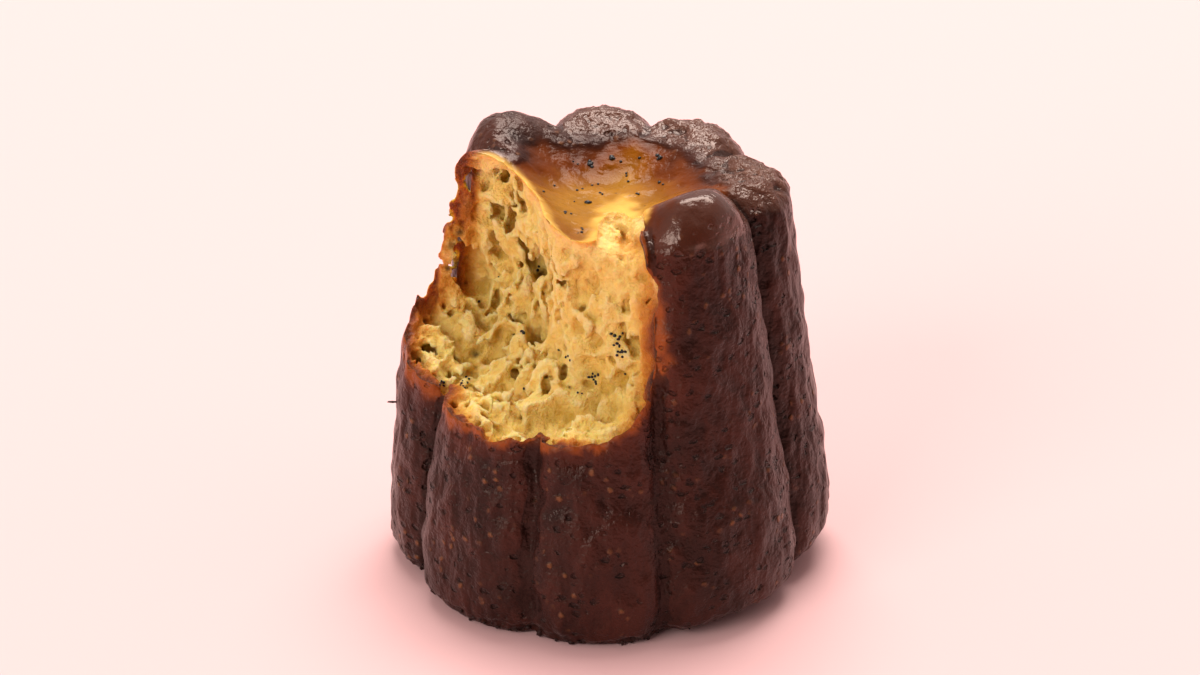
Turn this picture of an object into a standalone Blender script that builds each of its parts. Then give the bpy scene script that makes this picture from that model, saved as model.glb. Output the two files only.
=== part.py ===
"""A canele with a bite out of its front left: a tapered, fluted cake with a dished crown.

The outer surface is one meridian curve swept round the upright axis. Eight lobes are pressed
into it by the valleys between them. The bite is three overlapping scoops with a torn surface.
The front is -Y, the right is +X, and the cake stands on z = 0.
"""

import math

import bmesh
import bpy
import numpy as np
from mathutils import Vector, noise

MM = 0.001

# Driving sizes of the whole cake
HEIGHT = 52.0 * MM
FOOT_RADIUS = 2.2 * MM  # rounding where the side meets the underside
RIM_RADIUS = 4.6 * MM  # rounding where the side meets the crown
DISH_DEPTH = 5.4 * MM  # the crown's centre below its lobes
DISH_FLOOR = 3.5 * MM  # radius of the dish's flat middle
UNDERSIDE = -0.4 * MM  # modelled this low, then sliced flat on z = 0
UNDERSIDE_ROWS = (0.12, 0.35, 0.6, 0.8, 0.93)  # radii of its rows against the flat part's radius

# Crest radius of the side against height
SIDE_PROFILE = np.array([
    (0.0, 27.3), (5.5, 27.5), (12.0, 27.0), (15.0, 26.6), (19.0, 25.7),
    (26.0, 24.5), (35.7, 23.2), (46.0, 21.9), (52.0, 21.2),
]) * MM

# One row per valley: azimuth in degrees from the front, positive to the right,
# depth at the foot and at the crown in mm, and flatness of the lobes beside it
VALLEYS = np.array([
    (-66.0, 3.4, 4.4, 2.4),
    (-22.0, 1.9, 3.4, 3.6),
    (14.0, 2.2, 3.6, 3.0),
    (65.0, 3.8, 4.4, 2.2),
    (118.0, 3.4, 3.8, 2.4),
    (163.0, 3.0, 2.7, 2.4),
    (205.0, 3.0, 3.2, 2.4),
    (249.0, 3.2, 4.0, 2.4),
])
ARCH_POWER = 0.62  # 0.5 gives half-round lobes with sharp valleys, 1 gives soft ones
VALLEY_DROP = 1.6 * MM  # how far the rim dips between two lobes
# The lobes fade in outwards between two radii, on the crown and on the underside
CROWN_FADE = (7.0 * MM, 18.0 * MM)
UNDERSIDE_FADE = (4.0 * MM, 20.0 * MM)
# They are rounder towards the rim, between two heights, and on the crown, between two radii
RIM_SOFTENING = (46.0 * MM, 51.0 * MM)
RIM_SOFTNESS = 0.75
CROWN_SOFTENING = (8.0 * MM, 19.0 * MM)

# Uneven baking: (azimuth, spread in degrees, size in mm)
FOOT_LIFTS = ((92.0, 30.0, 3.2), (40.0, 20.0, 1.5), (-90.0, 22.0, 0.7))
FOOT_LIFT_RADII = (13.0 * MM, 26.0 * MM)
FOOT_LIFT_HEIGHTS = (2.0 * MM, 14.0 * MM)
CROWN_SAGS = ((92.0, 30.0, 1.5), (140.0, 20.0, 0.3), (226.0, 22.0, -1.0))
# The crown sags beside the bite: its middle, its spread and its depth
SAG_MIDDLE = (-3.5 * MM, -12.5 * MM)
SAG_SPREAD = 5.0 * MM
SAG_DEPTH = 4.0 * MM
# Uneven side: (azimuth, spread, height in mm, spread in mm, swelling in mm)
SWELLINGS = ((-88.0, 20.0, 25.0, 11.0, 1.3), (30.0, 16.0, 8.0, 9.0, 0.4), (150.0, 25.0, 20.0, 12.0, 0.7))
RIPPLE = 0.16 * MM

# The bite: centre of each scoop in mm, its half sizes in mm, and its turn about the upright axis in degrees
SCOOPS = (
    ((-19.2, -15.8, 40.4), (12.5, 22.4, 16.1), 1.0),
    ((-9.4, -20.7, 39.6), (16.2, 10.7, 15.0), -27.0),
    ((0.5, -11.6, 56.8), (3.8, 13.4, 12.0), -3.0),
)
SCOOP_SQUARENESS = 2.6  # 2 gives an ellipsoid, more gives flatter floors and steeper walls
SCOOP_BLEND = 2.0 * MM  # how softly one scoop runs into the next
BITE_CENTRE = Vector((-6.0, -27.0, 50.0)) * MM  # every point of the bite can be seen from here
BITE_REACH = 60.0 * MM
CRUMB_SWELL = 0.8 * MM
CRUMB_GRAIN = 0.5 * MM
PORE_SPACING = 3.4 * MM
PORE_SHARE = 0.42  # radius of a pore against the spacing
PORE_DEPTH = 1.3 * MM
CALM_HEIGHTS = (43.0 * MM, 48.0 * MM)  # the relief dies down between these, towards the crown
CALM_SHARE = 0.7

# Fineness of the meshes
AZIMUTH_STEPS = 208
SIDE_STEPS = 34
DISH_STEPS = 18
BITE_SUBDIVISIONS = 6
BITE_MESH_SIZE = 0.75 * MM
CRUST_TRIANGLES_KEPT = 0.18
CRUMB_TRIANGLES_KEPT = 0.42

SHARP_ANGLE = math.radians(60.0)
FLOOR_CUTTER_WIDTH = 80.0 * MM
FLOOR_CUTTER_DEPTH = 6.0 * MM

CRUST_COLOUR = (0.055, 0.020, 0.013, 1.0)
CRUMB_COLOUR = (0.62, 0.30, 0.075, 1.0)


def smooth_step(low, high, value):
    """0 below low, 1 above high, and an S curve between."""
    share = np.clip((value - low) / (high - low), 0.0, 1.0)
    return share * share * (3.0 - 2.0 * share)


def bell(azimuth, centre, spread):
    """1 at the centre azimuth, fading on both sides of it."""
    apart = (azimuth - centre + 180.0) % 360.0 - 180.0
    return np.exp(-((apart / spread) ** 2))


def meridian():
    """Radius and height of each row, from the middle of the underside to the middle of the crown.

    The last two columns say whether a row is on the crown, and how far it is dished.
    """
    rows = []
    foot_edge = SIDE_PROFILE[0, 1] - FOOT_RADIUS
    for share in UNDERSIDE_ROWS:
        rows.append((share * foot_edge, UNDERSIDE, 0.0, 0.0))
    for angle in np.radians(np.linspace(-90.0, 0.0, 6, endpoint=False)):
        height = FOOT_RADIUS * (1.0 + math.sin(angle)) + UNDERSIDE
        rows.append((foot_edge + FOOT_RADIUS * math.cos(angle), height, 0.0, 0.0))
    for height in np.linspace(FOOT_RADIUS, HEIGHT - RIM_RADIUS, SIDE_STEPS):
        radius = np.interp(height, SIDE_PROFILE[:, 0], SIDE_PROFILE[:, 1])
        rows.append((radius, height, 0.0, 0.0))
    rim_edge = rows[-1][0] - RIM_RADIUS
    for angle in np.radians(np.linspace(0.0, 82.0, 9)[1:]):
        height = HEIGHT - RIM_RADIUS * (1.0 - math.sin(angle))
        rows.append((rim_edge + RIM_RADIUS * math.cos(angle), height, 1.0, 0.0))
    inner_edge, top = rows[-1][:2]
    for share in np.linspace(0.0, 0.97, DISH_STEPS)[1:]:
        radius = inner_edge * (1.0 - share)
        dished = float(smooth_step(inner_edge, DISH_FLOOR, radius))
        rows.append((radius, top - DISH_DEPTH * dished, 1.0, dished))
    return np.array(rows)


def valley_press(azimuth, height, softness):
    """How far the valleys press the surface inwards, and their shape alone, 0 on a crest and 1 in a valley.

    Between two valleys the lobe is the arch (1 - |s|^flatness)^power, with s from -1 to 1 across it.
    """
    table = np.vstack([VALLEYS, VALLEYS[0] + (360.0, 0.0, 0.0, 0.0)])
    edges = table[:, 0]
    turned = (azimuth - edges[0]) % 360.0 + edges[0]
    lobe = np.clip(np.searchsorted(edges, turned, side="right") - 1, 0, len(VALLEYS) - 1)
    across = (turned - edges[lobe]) / (edges[lobe + 1] - edges[lobe]) * 2.0 - 1.0
    nearest = np.where(across < 0.0, lobe, lobe + 1)
    rise = np.clip(height / HEIGHT, 0.0, 1.0)
    depth = (table[nearest, 1] * (1.0 - rise) + table[nearest, 2] * rise) * MM
    flatness = table[nearest, 3] * (1.0 - softness) + 2.0 * softness
    power = ARCH_POWER * (1.0 - softness) + softness
    shape = 1.0 - (1.0 - np.abs(across) ** flatness) ** power
    return depth * shape, shape


def ripple(x, y, z):
    """A slow unevenness of the whole surface, from -1 to 1."""
    return (
        np.sin(x / (3.1 * MM) + 1.3 * np.sin(z / (5.7 * MM)))
        + np.sin(y / (2.7 * MM) + 1.7 * np.sin(x / (6.3 * MM) + 0.8))
        + np.sin(z / (3.9 * MM) + 1.1 * np.sin(y / (4.9 * MM) + 2.1))
    ) / 3.0


def cake_points():
    """The outer surface as a grid of points: one row per meridian row, one column per azimuth."""
    rows = meridian()
    azimuth = np.linspace(-180.0, 180.0, AZIMUTH_STEPS, endpoint=False)[None, :]
    radius, height, crown, dished = (rows[:, k][:, None] for k in range(4))

    reach = crown * smooth_step(*CROWN_FADE, radius) + (1.0 - crown) * smooth_step(*UNDERSIDE_FADE, radius)
    rim_softness = RIM_SOFTNESS * smooth_step(*RIM_SOFTENING, height)
    softness = np.maximum(rim_softness, crown * (1.0 - smooth_step(*CROWN_SOFTENING, radius)))
    press, valley = valley_press(azimuth, height, softness)

    swell = sum(
        size * MM * bell(azimuth, centre, spread) * np.exp(-(((height - level * MM) / (tall * MM)) ** 2))
        for centre, spread, level, tall, size in SWELLINGS
    )
    out = radius - press * reach + swell * (1.0 - crown)
    lift = sum(size * MM * bell(azimuth, centre, spread) for centre, spread, size in FOOT_LIFTS)
    lift = lift * smooth_step(*FOOT_LIFT_RADII, radius) * (1.0 - smooth_step(*FOOT_LIFT_HEIGHTS, height))
    sag = sum(size * MM * bell(azimuth, centre, spread) for centre, spread, size in CROWN_SAGS)
    crowned = smooth_step(0.84 * HEIGHT, HEIGHT, height + DISH_DEPTH * dished)
    drop = (VALLEY_DROP * valley + sag) * crowned * reach

    x = out * np.sin(np.radians(azimuth))
    y = -out * np.cos(np.radians(azimuth))
    from_sag = ((x - SAG_MIDDLE[0]) ** 2 + (y - SAG_MIDDLE[1]) ** 2) / SAG_SPREAD**2
    z = height - drop + lift - SAG_DEPTH * np.exp(-from_sag) * crown
    rough = RIPPLE * ripple(x, y, z)
    grow = 1.0 + rough / np.maximum(out, 8.0 * MM)
    return np.stack([x * grow, y * grow, z + rough * crowned], axis=-1)


def skin_faces(rows, columns):
    """Quads between neighbouring rows, closed round the axis."""
    first = np.arange(rows - 1)[:, None] * columns
    column = np.arange(columns)[None, :]
    following = (column + 1) % columns
    corners = (first + column, first + following, first + columns + following, first + columns + column)
    return np.stack(corners, axis=-1).reshape(-1, 4)


def make_cake():
    """The whole cake before the bite, as one closed mesh of triangles."""
    points = cake_points()
    rows, columns = points.shape[:2]
    bm = bmesh.new()
    verts = [bm.verts.new(p) for p in points.reshape(-1, 3)]
    for corners in skin_faces(rows, columns):
        bm.faces.new([verts[k] for k in corners])
    bm.faces.new(verts[:columns][::-1])
    bm.faces.new(verts[-columns:])
    bmesh.ops.triangulate(bm, faces=bm.faces[:])
    bmesh.ops.recalc_face_normals(bm, faces=bm.faces[:])
    return finish_mesh("canele", bm)


def crumb_relief(point):
    """How far torn crumb lies behind the smooth scoop: slow swells, fine grain and round pores."""
    swell = noise.noise(point / (6.5 * MM))
    grain = noise.noise(point / (2.4 * MM) + Vector((7.0, 3.0, 5.0)))
    cell = noise.voronoi(point / PORE_SPACING, distance_metric="DISTANCE")[0][0]
    pore = max(0.0, 1.0 - cell / PORE_SHARE)
    calm = 1.0 - CALM_SHARE * float(smooth_step(*CALM_HEIGHTS, point.z))
    return calm * (CRUMB_SWELL * swell + CRUMB_GRAIN * grain + PORE_DEPTH * math.sqrt(pore))


def scoop_field(points):
    """Negative inside the bite and positive in the cake, roughly in metres.

    Each scoop is a squarish ellipsoid, and neighbouring ones are joined by a rounded minimum.
    """
    joined = None
    for centre_mm, half_mm, turn in SCOOPS:
        cosine, sine = math.cos(math.radians(turn)), math.sin(math.radians(turn))
        away = points - np.array(centre_mm) * MM
        along = away[:, 0] * cosine + away[:, 1] * sine
        across = away[:, 1] * cosine - away[:, 0] * sine
        turned = np.stack([along, across, away[:, 2]], axis=1)
        half = np.array(half_mm) * MM
        total = np.sum(np.abs(turned / half) ** SCOOP_SQUARENESS, axis=1)
        field = (total ** (1.0 / SCOOP_SQUARENESS) - 1.0) * half.min()
        if joined is None:
            joined = field
            continue
        blend = np.clip(1.0 - np.abs(joined - field) / SCOOP_BLEND, 0.0, 1.0)
        joined = np.minimum(joined, field) - blend**3 * SCOOP_BLEND / 6.0
    return joined


def make_bite():
    """The bite as one closed mesh: each direction from its centre is followed until it meets the cake.

    The smooth shape is then meshed evenly, and each point goes into the cake by the crumb's relief.
    """
    bm = bmesh.new()
    bmesh.ops.create_icosphere(bm, subdivisions=BITE_SUBDIVISIONS, radius=1.0)
    ways = np.array([vert.co.normalized() for vert in bm.verts])
    near, far = np.zeros(len(ways)), np.full(len(ways), BITE_REACH)
    for _ in range(20):
        middle = (near + far) / 2.0
        inside = scoop_field(np.array(BITE_CENTRE) + ways * middle[:, None]) < 0.0
        near = np.where(inside, middle, near)
        far = np.where(inside, far, middle)
    for vert, way, distance in zip(bm.verts, ways, far):
        vert.co = BITE_CENTRE + Vector(way * distance)
    bite = finish_mesh("bite", bm)

    remesh = bite.modifiers.new("even_mesh", "REMESH")
    remesh.mode = "VOXEL"
    remesh.voxel_size = BITE_MESH_SIZE
    evaluated = bite.evaluated_get(bpy.context.evaluated_depsgraph_get())
    bite.data = bpy.data.meshes.new_from_object(evaluated)
    bite.modifiers.clear()
    normals = [vert.normal.copy() for vert in bite.data.vertices]
    for vert, normal in zip(bite.data.vertices, normals):
        vert.co = vert.co + normal * crumb_relief(vert.co)
    return bite


def finish_mesh(name, bm):
    """A mesh object in the scene, from a bmesh that is used up."""
    mesh = bpy.data.meshes.new(name)
    bm.to_mesh(mesh)
    bm.free()
    mesh.shade_smooth()
    mesh.set_sharp_from_angle(angle=SHARP_ANGLE)
    made = bpy.data.objects.new(name, mesh)
    bpy.context.scene.collection.objects.link(made)
    return made


def make_floor_cutter():
    """A block whose top is z = 0, which slices the underside flat."""
    bm = bmesh.new()
    bmesh.ops.create_cube(bm, size=1.0)
    for vert in bm.verts:
        side = vert.co * FLOOR_CUTTER_WIDTH
        vert.co = Vector((side.x, side.y, (vert.co.z - 0.5) * FLOOR_CUTTER_DEPTH))
    return finish_mesh("floor_cutter", bm)


def make_material(name, colour, roughness):
    material = bpy.data.materials.new(name)
    material.use_nodes = True
    shader = material.node_tree.nodes["Principled BSDF"]
    shader.inputs["Base Color"].default_value = colour
    shader.inputs["Roughness"].default_value = roughness
    shader.inputs["Metallic"].default_value = 0.0
    material.diffuse_color = colour
    return material


def as_guide(cutter):
    cutter.hide_render = True
    cutter.display_type = "WIRE"
    return cutter


def keep_share(target, share):
    """Merges triangles where the surface is smooth, down to this share of them."""
    thin = target.modifiers.new("fewer_triangles", "DECIMATE")
    thin.ratio = share
    return thin


def subtract(target, cutter, name):
    cut = target.modifiers.new(name, "BOOLEAN")
    cut.operation = "DIFFERENCE"
    cut.solver = "EXACT"
    cut.material_mode = "TRANSFER"
    cut.object = cutter
    return cut


def main():
    for stale in list(bpy.data.objects):
        bpy.data.objects.remove(stale)
    crust = make_material("browned_crust", CRUST_COLOUR, 0.42)
    crumb = make_material("custard_crumb", CRUMB_COLOUR, 0.6)

    canele = make_cake()
    canele.data.materials.append(crust)
    keep_share(canele, CRUST_TRIANGLES_KEPT)
    bite = as_guide(make_bite())
    bite.data.materials.append(crumb)
    keep_share(bite, CRUMB_TRIANGLES_KEPT)
    subtract(canele, bite, "bite")
    floor_cutter = as_guide(make_floor_cutter())
    floor_cutter.data.materials.append(crust)
    subtract(canele, floor_cutter, "flat_underside")


main()
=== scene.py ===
"""The bitten canele dressed for the camera: browned crust, glazed crown, torn custard crumb, vanilla seeds.

The skin is one surface of two parameters, azimuth and meridian. The bite is the level surface of a
field on a fine grid: smooth scoops, open pores and torn relief. One is cut out of the other.
"""

import math

import bmesh
import bpy
import numpy as np
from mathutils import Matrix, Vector
from mathutils.bvhtree import BVHTree


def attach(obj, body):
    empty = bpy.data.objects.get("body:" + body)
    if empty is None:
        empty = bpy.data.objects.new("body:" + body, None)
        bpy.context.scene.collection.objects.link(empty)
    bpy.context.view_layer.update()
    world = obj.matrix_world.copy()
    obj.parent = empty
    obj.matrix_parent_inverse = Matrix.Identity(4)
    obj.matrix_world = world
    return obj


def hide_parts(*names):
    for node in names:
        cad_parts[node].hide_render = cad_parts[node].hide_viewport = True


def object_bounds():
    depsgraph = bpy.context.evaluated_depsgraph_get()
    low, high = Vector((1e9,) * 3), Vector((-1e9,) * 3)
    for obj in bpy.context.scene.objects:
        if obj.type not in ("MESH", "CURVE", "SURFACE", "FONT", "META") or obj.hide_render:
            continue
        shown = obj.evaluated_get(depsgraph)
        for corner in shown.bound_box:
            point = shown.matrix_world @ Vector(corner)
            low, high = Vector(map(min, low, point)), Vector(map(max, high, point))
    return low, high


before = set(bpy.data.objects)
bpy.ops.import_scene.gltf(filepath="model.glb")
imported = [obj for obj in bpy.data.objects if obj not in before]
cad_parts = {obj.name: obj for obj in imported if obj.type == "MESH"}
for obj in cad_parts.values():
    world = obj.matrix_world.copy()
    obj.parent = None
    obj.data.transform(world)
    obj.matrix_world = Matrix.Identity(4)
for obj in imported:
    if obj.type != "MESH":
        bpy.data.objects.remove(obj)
cad_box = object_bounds()
cad_low, cad_high = np.array([list(corner) for corner in cad_box])

MM = 0.001


def mm(*lengths):
    """These lengths, given in millimetres, in metres."""
    return tuple(length * MM for length in lengths)


# The photo's camera
PHOTO_SIZE = (1200.0, 675.0)
CAMERA_DISTANCE = 450.0 * MM
CAMERA_RISE = 28.0  # degrees above the table
CAMERA_FOCAL = 3600.0  # in pixels of the photo
ORIGIN_PIXEL = (612.0, 543.5)

# The whole cake, in metres
HEIGHT = 52.0 * MM
FOOT_RADIUS = 2.2 * MM
RIM_RADIUS = 4.6 * MM
DISH_DEPTH = 5.4 * MM
DISH_FLOOR = 3.5 * MM
UNDERSIDE_ROWS = (0.1, 0.3, 0.55, 0.75, 0.9)
# Crest radius of the side against height
SIDE_PROFILE = np.array([
    (0.0, 27.3), (5.5, 27.5), (12.0, 27.0), (15.0, 26.6), (19.0, 25.7),
    (26.0, 24.5), (35.7, 23.2), (46.0, 21.9), (52.0, 21.2),
]) * MM
# One row per valley: azimuth in degrees from the front, positive to the right,
# depth at the foot and at the crown in mm, and flatness of the lobes beside it
VALLEYS = np.array([
    (-66.0, 3.4, 4.4, 2.4),
    (-22.0, 1.9, 3.4, 3.6),
    (14.0, 2.2, 3.6, 3.0),
    (65.0, 3.8, 4.4, 2.2),
    (118.0, 3.4, 3.8, 2.4),
    (163.0, 3.0, 2.7, 2.4),
    (205.0, 3.0, 3.2, 2.4),
    (249.0, 3.2, 4.0, 2.4),
])
ARCH_POWER = 0.62
VALLEY_DROP = 1.6 * MM
CROWN_FADE = mm(7.0, 18.0)
UNDERSIDE_FADE = mm(4.0, 20.0)
RIM_SOFTENING = mm(46.0, 51.0)
RIM_SOFTNESS = 0.75
CROWN_SOFTENING = mm(8.0, 19.0)
# Uneven baking: (azimuth, spread in degrees, size in mm)
FOOT_LIFTS = ((92.0, 30.0, 3.2), (40.0, 20.0, 1.5), (-90.0, 22.0, 0.7))
FOOT_LIFT_RADII = mm(13.0, 26.0)
FOOT_LIFT_HEIGHTS = mm(2.0, 14.0)
CROWN_SAGS = ((92.0, 30.0, 1.5), (140.0, 20.0, 0.3), (226.0, 22.0, -1.0), (36.0, 17.0, -1.4))
SAG_MIDDLE = mm(-3.5, -12.5)
SAG_SPREAD = 5.0 * MM
SAG_DEPTH = 4.0 * MM
# Uneven side: (azimuth, spread, height in mm, spread in mm, swelling in mm)
SWELLINGS = (
    (-88.0, 20.0, 25.0, 11.0, 1.3), (30.0, 16.0, 8.0, 9.0, 0.4), (150.0, 25.0, 20.0, 12.0, 0.7),
    (54.0, 13.0, 50.0, 10.0, -1.1),
)
RIPPLE = 0.16 * MM

# Rough lobes of the crown: (azimuth, spread in degrees, strength)
CRAGS = ((92.0, 24.0, 1.0), (142.0, 24.0, 0.75), (186.0, 22.0, 0.7), (228.0, 18.0, 0.15))

# Relief that is baked into the skin, all in metres: size of the unevenness and how deep it goes
SWELL_SIZE, SWELL_RELIEF = 2.6 * MM, 0.15 * MM
PUCKER_SIZE, PUCKER_RELIEF = 1.2 * MM, 0.17 * MM
PUCKER_STRETCH = (1.0, 1.0, 0.45)  # taller than wide
RUBBLE_SIZES, RUBBLE_RELIEF = mm(1.7, 0.9), 0.42 * MM
CRAG_RADII, CRAG_HEIGHTS = mm(9.5, 14.0), mm(46.5, 49.5)
RAGGED_SIZE, RAGGED_RELIEF, RAGGED_HEIGHTS = 1.3 * MM, 0.5 * MM, mm(0.5, 3.0)  # at the foot
GROOVE_RELIEF, GROOVE_BEGIN = 0.45 * MM, 0.86  # in the valleys
FRONT_VALLEY, FRONT_SPREAD = 14.0, 12.0  # the shallow valley at the front, in degrees

# Fineness of the skin
AZIMUTH_STEPS = 348
FOOT_STEPS = 8
SIDE_STEPS = 100
RIM_STEPS, RIM_TURN = 15, 82.0  # the rim's rounding stops at this angle, where the dish begins
DISH_STEPS, DISH_END = 48, 0.985  # the dish's last row lies this share of the way to its middle
MOST_TRIANGLES = 194000  # after thinning out where the surface is smooth
MENDING_ROUNDS = 8  # of closing the gaps that thinning leaves
EVENING_ROUNDS = 30  # of smoothing a copy, to find what lies sunk in the surface

# The bite: centre of each scoop in mm, its half sizes in mm, and its turn about the upright axis in degrees
SCOOPS = (
    ((-19.2, -15.8, 40.4), (12.5, 22.4, 16.1), 1.0),
    ((-9.4, -20.7, 39.6), (16.2, 10.7, 15.0), -27.0),
    ((0.5, -11.6, 56.8), (3.8, 13.4, 12.0), -3.0),
)
SCOOP_SQUARENESS = 2.6
SCOOP_BLEND = 2.0 * MM

# The glazed middle of the crown, a little forward of the axis, and where its colour fades out
GLAZE_MIDDLE = mm(-0.5, -3.5)
GLAZE_REACH = mm(4.5, 15.5)

# Where the finishes begin and end
GLAZE_BULGE = (163.0, 12.0, 3.0 * MM)  # the glaze reaches further here: azimuth, spread in degrees, how far
GLAZE_HEIGHTS = mm(40.0, 45.0)
CROWN_HEIGHTS, CROWN_RADII = mm(46.5, 49.0), mm(11.0, 14.5)
# Lobes with less gloss: azimuth, spread in degrees and share of the gloss lost
DULL_LOBES = ((226.0, 24.0, 0.85), (92.0, 24.0, 0.6))
CREASE_BEGIN, CREASE_HEIGHTS = 0.75, mm(46.0, 50.0)
SEAM_HEIGHT, SEAM_WIDTH = mm(48.3, 0.3)  # a fine seam ridge round the knob at the front right, drawn only as a pale line: painted highlight along it
SEAM_ENDS = ((22.0, 28.0), (44.0, 50.0))  # it fades in and out between these azimuths

LATTICE_CELLS = 32  # noise on the skin repeats after this many cells

# The grid that the bite's field is worked out on
GRID_STEP = 0.22 * MM
GRID_LOW = np.array((-30.0, -30.0, 20.5)) * MM
GRID_HIGH = np.array((8.5, 10.5, 55.0)) * MM

# Torn crumb, all in metres. Pockets: size of the unevenness, how deep they reach, and where they begin and
# end on its scale of -1 to 1. Each row is (size, depth, begin, end, share kept at the right of the bite)
POCKETS = (
    (2.4 * MM, 2.1 * MM, 0.21, 0.55, 0.2),
    (1.4 * MM, 1.2 * MM, 0.22, 0.52, 0.35),
    (0.85 * MM, 0.5 * MM, 0.20, 0.55, 0.6),
    (0.5 * MM, 0.22 * MM, 0.10, 0.55, 0.9),
)
POCKET_UPRIGHT = 1.5  # how much taller than wide
LUMP_SIZE, LUMP_DEPTH = 3.0 * MM, 1.1 * MM
FLAKE_SIZE, FLAKE_DEPTH = 1.5 * MM, 0.3 * MM
GRAIN_SIZE, GRAIN_DEPTH = 0.48 * MM, 0.2 * MM
SWAY_SIZE, SWAY_DEPTH = 6.0 * MM, 0.7 * MM
WARP_LAYERS = (mm(3.2, 0.8), mm(1.2, 0.42))
PORE_TRIES = 2600
PORE_RADII = mm(0.3, 1.3)
PORE_BAND = mm(-0.5, 1.1)
PORE_UPRIGHT = 1.35
# The largest pores: where the camera sees their mouth, in pixels of the photo, and their half sizes in mm
SEEN_PORES = (
    ((488, 218), (0.7, 0.9, 0.7)), ((505, 221), (1.0, 1.2, 0.8)), ((522, 243), (1.1, 1.3, 0.8)),
    ((497, 291), (0.8, 1.1, 1.0)), ((523, 308), (0.8, 1.1, 1.3)), ((473, 252), (0.7, 0.9, 0.7)),
    ((461, 291), (0.7, 0.9, 1.3)), ((455, 330), (0.9, 1.0, 0.9)), ((455, 356), (0.9, 1.2, 1.6)),
    ((477, 356), (0.7, 1.2, 0.7)), ((540, 273), (0.9, 0.9, 0.5)), ((566, 254), (0.9, 0.8, 0.5)),
    ((556, 347), (2.0, 1.5, 0.6)), ((534, 349), (1.6, 1.4, 0.6)),
)
# Torn flakes that hang from the wall: as above
SEEN_FLAKES = (
    ((555, 303), (0.8, 1.2, 0.8)), ((554, 315), (0.6, 1.3, 1.6)), ((583, 311), (0.9, 1.1, 0.8)),
    ((589, 318), (0.5, 1.2, 0.7)), ((481, 172), (1.0, 0.9, 0.7)), ((520, 280), (0.8, 1.0, 0.6)),
    ((462, 262), (0.6, 0.9, 1.0)), ((445, 323), (0.7, 1.0, 1.1)), ((500, 350), (0.9, 1.0, 0.9)),
    ((465, 187), (0.9, 1.2, 1.7)), ((450, 250), (0.8, 1.2, 2.0)), ((446, 268), (0.8, 1.2, 1.2)),
)
LEFT_PART = mm(2.0, -9.0)  # across this the crumb turns from dense at the right to open at the left
OUTER_LEFT = mm(-11.0, -17.0)  # across this it turns to the torn edge at the far left
TORN_HEIGHTS, TORN_SHARE = mm(35.0, 41.0), 0.25  # the torn edge is rougher below these
FIRM_DEPTHS = mm(0.2, 1.4)  # the crust's firm outside gives way to crumb between these depths
RIM_DEPTHS = mm(1.2, 3.2)  # the rim under the glaze is smoother down to these depths
CRUST_THICKNESS = mm(0.5, 1.5)
CRUST_LEFT_EXTRA = 0.5 * MM  # the torn crust is thicker at the left
CRUST_PROUD = 0.55 * MM  # the tough crust stands this far proud of the crumb where it tears
PROUD_LAYERS = ((2.2 * MM, 0.4), (0.8 * MM, 0.35))  # size and share of its ragged edge
PROUD_END = mm(47.0, 51.0)  # it ends between these heights
CUSTARD_DEPTHS = mm(1.4, 3.2)  # inwards of this from the side, the custard has no tough crust
CUSTARD_HEIGHTS = mm(40.0, 43.0)
DENSE_MIDDLE, DENSE_REACH = mm(0.5, -8.0, 45.0), 6.5 * MM  # dense custard beside the tongue

# Vanilla seeds: the pixel of the photo that shows them, how many, how far they scatter in pixels,
# and their radius in mm
SEED_SPOTS = (
    ((619, 340), 10, 4.0, 0.19), ((624, 352), 8, 3.5, 0.19), ((594, 377), 8, 4.0, 0.18),
    ((464, 384), 9, 4.0, 0.18), ((446, 385), 6, 2.5, 0.18), ((525, 332), 3, 3.0, 0.18),
    ((568, 357), 3, 2.5, 0.18), ((562, 350), 1, 1.0, 0.2), ((540, 270), 2, 2.0, 0.18),
    ((498, 276), 1, 1.0, 0.2), ((479, 301), 1, 1.0, 0.2), ((524, 390), 1, 1.0, 0.2),
    ((581, 392), 2, 2.0, 0.16), ((626, 375), 1, 1.0, 0.18), ((591, 163), 5, 2.0, 0.30),
    ((612, 157), 4, 1.5, 0.28), ((659, 157), 3, 1.5, 0.28), ((589, 202), 1, 0.1, 0.46),
    ((595, 180), 2, 2.0, 0.2), ((582, 189), 2, 2.0, 0.2), ((569, 212), 3, 2.5, 0.2),
    ((575, 201), 1, 1.0, 0.18), ((556, 186), 1, 1.0, 0.2), ((543, 191), 1, 1.0, 0.2),
    ((583, 228), 3, 3.0, 0.17), ((639, 192), 2, 1.5, 0.2), ((661, 181), 2, 2.0, 0.25),
    ((618, 170), 2, 4.0, 0.17), ((602, 196), 2, 4.0, 0.17), ((628, 182), 2, 4.0, 0.17),
    ((577, 165), 2, 3.0, 0.17), ((641, 158), 1, 1.0, 0.22),
)
# Burnt crumbs at the foot
CRUMB_COUNT = 170
CRUMB_HEIGHTS = mm(0.05, 1.2)
CRUMB_HALF = mm(0.15, 0.42)
FLECK_MIDDLE = np.array((-26.65, -1.6, 20.35)) * MM
FLECK_HALF = np.array((0.75, 0.16, 0.16)) * MM
# Painted shade of holes and cracks that are not modelled: the pixel of the photo that shows each and its
# size in mm
HOLE_SHADE_SPOTS = (
    ((477, 355), 0.5), ((789, 455), 0.45), ((790, 468), 0.5), ((779, 423), 0.5), ((775, 352), 0.5),
    ((773, 342), 0.35), ((778, 264), 0.3), ((541, 273), 0.4), ((452, 245), 0.5), ((460, 232), 0.5),
    ((449, 268), 0.4), ((425, 322), 0.4), ((406, 348), 0.45), ((516, 135), 1.6),
)

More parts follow.
